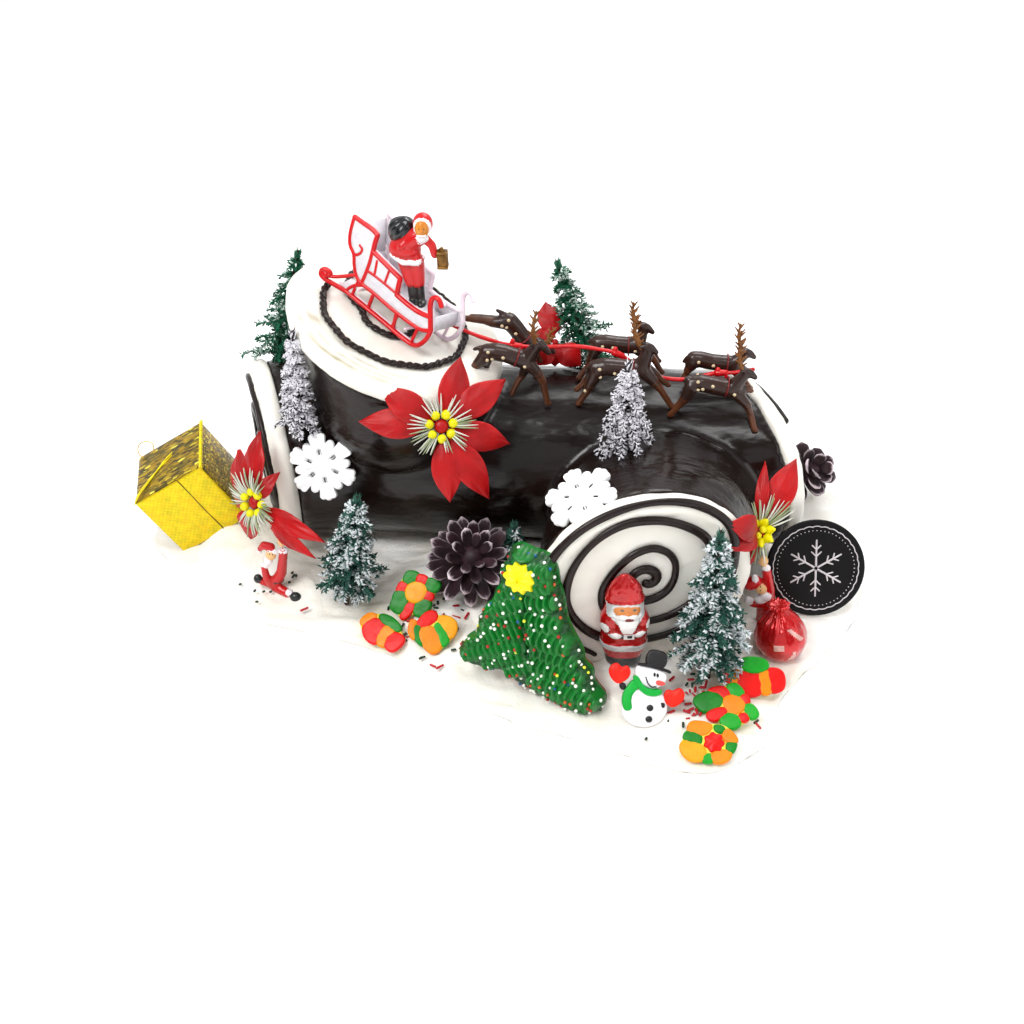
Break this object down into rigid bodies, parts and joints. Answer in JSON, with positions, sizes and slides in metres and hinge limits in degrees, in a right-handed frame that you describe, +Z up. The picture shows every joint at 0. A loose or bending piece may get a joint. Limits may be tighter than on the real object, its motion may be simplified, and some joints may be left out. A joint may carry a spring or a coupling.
{
  "type": "yule log cake",
  "caption": "Chocolate yule log cake with a stump and a branch, buttercream snow, piped spirals, trees, poinsettias and a sleigh drawn by reindeer.",
  "frame": {"origin": "on the flat underside of the snow bed, below the middle of the log", "axes": "+X along the log to its right end, +Y away from the front of the cake, +Z up"},
  "size_m": [0.3886, 0.2297, 0.1796],
  "materials": {
    "chocolate_glaze": "satin dark chocolate glaze with smeared highlights",
    "buttercream": "soft white buttercream with spatula ridges",
    "piped_chocolate": "piped dark chocolate line",
    "gold_foil": "glittering gold foil paper",
    "tree_green": "dark green needles with white frosting",
    "tree_silver": "silver tinsel needles",
    "petal_red": "red petal cloth with veins and yellow berries",
    "sugar_white": "white sugar icing",
    "pinecone_scale": "dark brown scales with frosted edges",
    "biscuit": "baked biscuit",
    "icing_green": "piped green icing with coloured sugar pearls",
    "icing_yellow": "piped yellow icing",
    "red_foil": "printed red foil",
    "sugar_colours": "moulded coloured sugar",
    "figure_paint": "painted plastic",
    "plaque_dark": "dark chocolate disc with a plain white ornament",
    "sleigh_plastic": "milky plastic with red painted edges",
    "deer_plastic": "brown plastic with pale spots",
    "rein_red": "glossy red plastic"
  },
  "bodies": {
    "root": {"log_main": "chocolate_glaze", "stump_top": "chocolate_glaze", "stub_front": "chocolate_glaze", "snow_base": "buttercream", "icing_left": "buttercream", "icing_right": "buttercream", "icing_stub": "buttercream", "icing_stump": "buttercream", "piping_stub": "piped_chocolate", "piping_left": "piped_chocolate", "piping_right": "piped_chocolate", "piping_stump": "piped_chocolate", "gift_box": "gold_foil", "tree_back_left": "tree_green", "tree_back_mid": "tree_green", "tree_snow_left": "tree_green", "tree_snow_right": "tree_green", "tree_gap": "tree_green", "tree_silver_left": "tree_silver", "tree_silver_front": "tree_silver", "poinsettia_main": "petal_red", "poinsettia_left": "petal_red", "poinsettia_right": "petal_red", "poinsettia_back": "petal_red", "snowflake_left": "sugar_white", "snowflake_right": "sugar_white", "sugar_snowman": "sugar_white", "pinecone_front": "pinecone_scale", "pinecone_right": "pinecone_scale", "cookie_base": "biscuit", "cookie_icing": "icing_green", "cookie_star": "icing_yellow", "foil_santa": "red_foil", "foil_sweet": "red_foil", "parcel_a": "sugar_colours", "parcel_b": "sugar_colours", "parcel_c": "sugar_colours", "parcel_d": "sugar_colours", "parcel_e": "sugar_colours", "parcel_f": "sugar_colours", "figure_left": "figure_paint", "figure_right": "figure_paint", "sleigh_santa": "figure_paint", "plaque_round": "plaque_dark", "sleigh": "sleigh_plastic", "reindeer_1_front": "deer_plastic", "reindeer_1_back": "deer_plastic", "reindeer_2_front": "deer_plastic", "reindeer_2_back": "deer_plastic", "reindeer_3_front": "deer_plastic", "reindeer_3_back": "deer_plastic", "rein": "rein_red"}
  },
  "joints": []
}
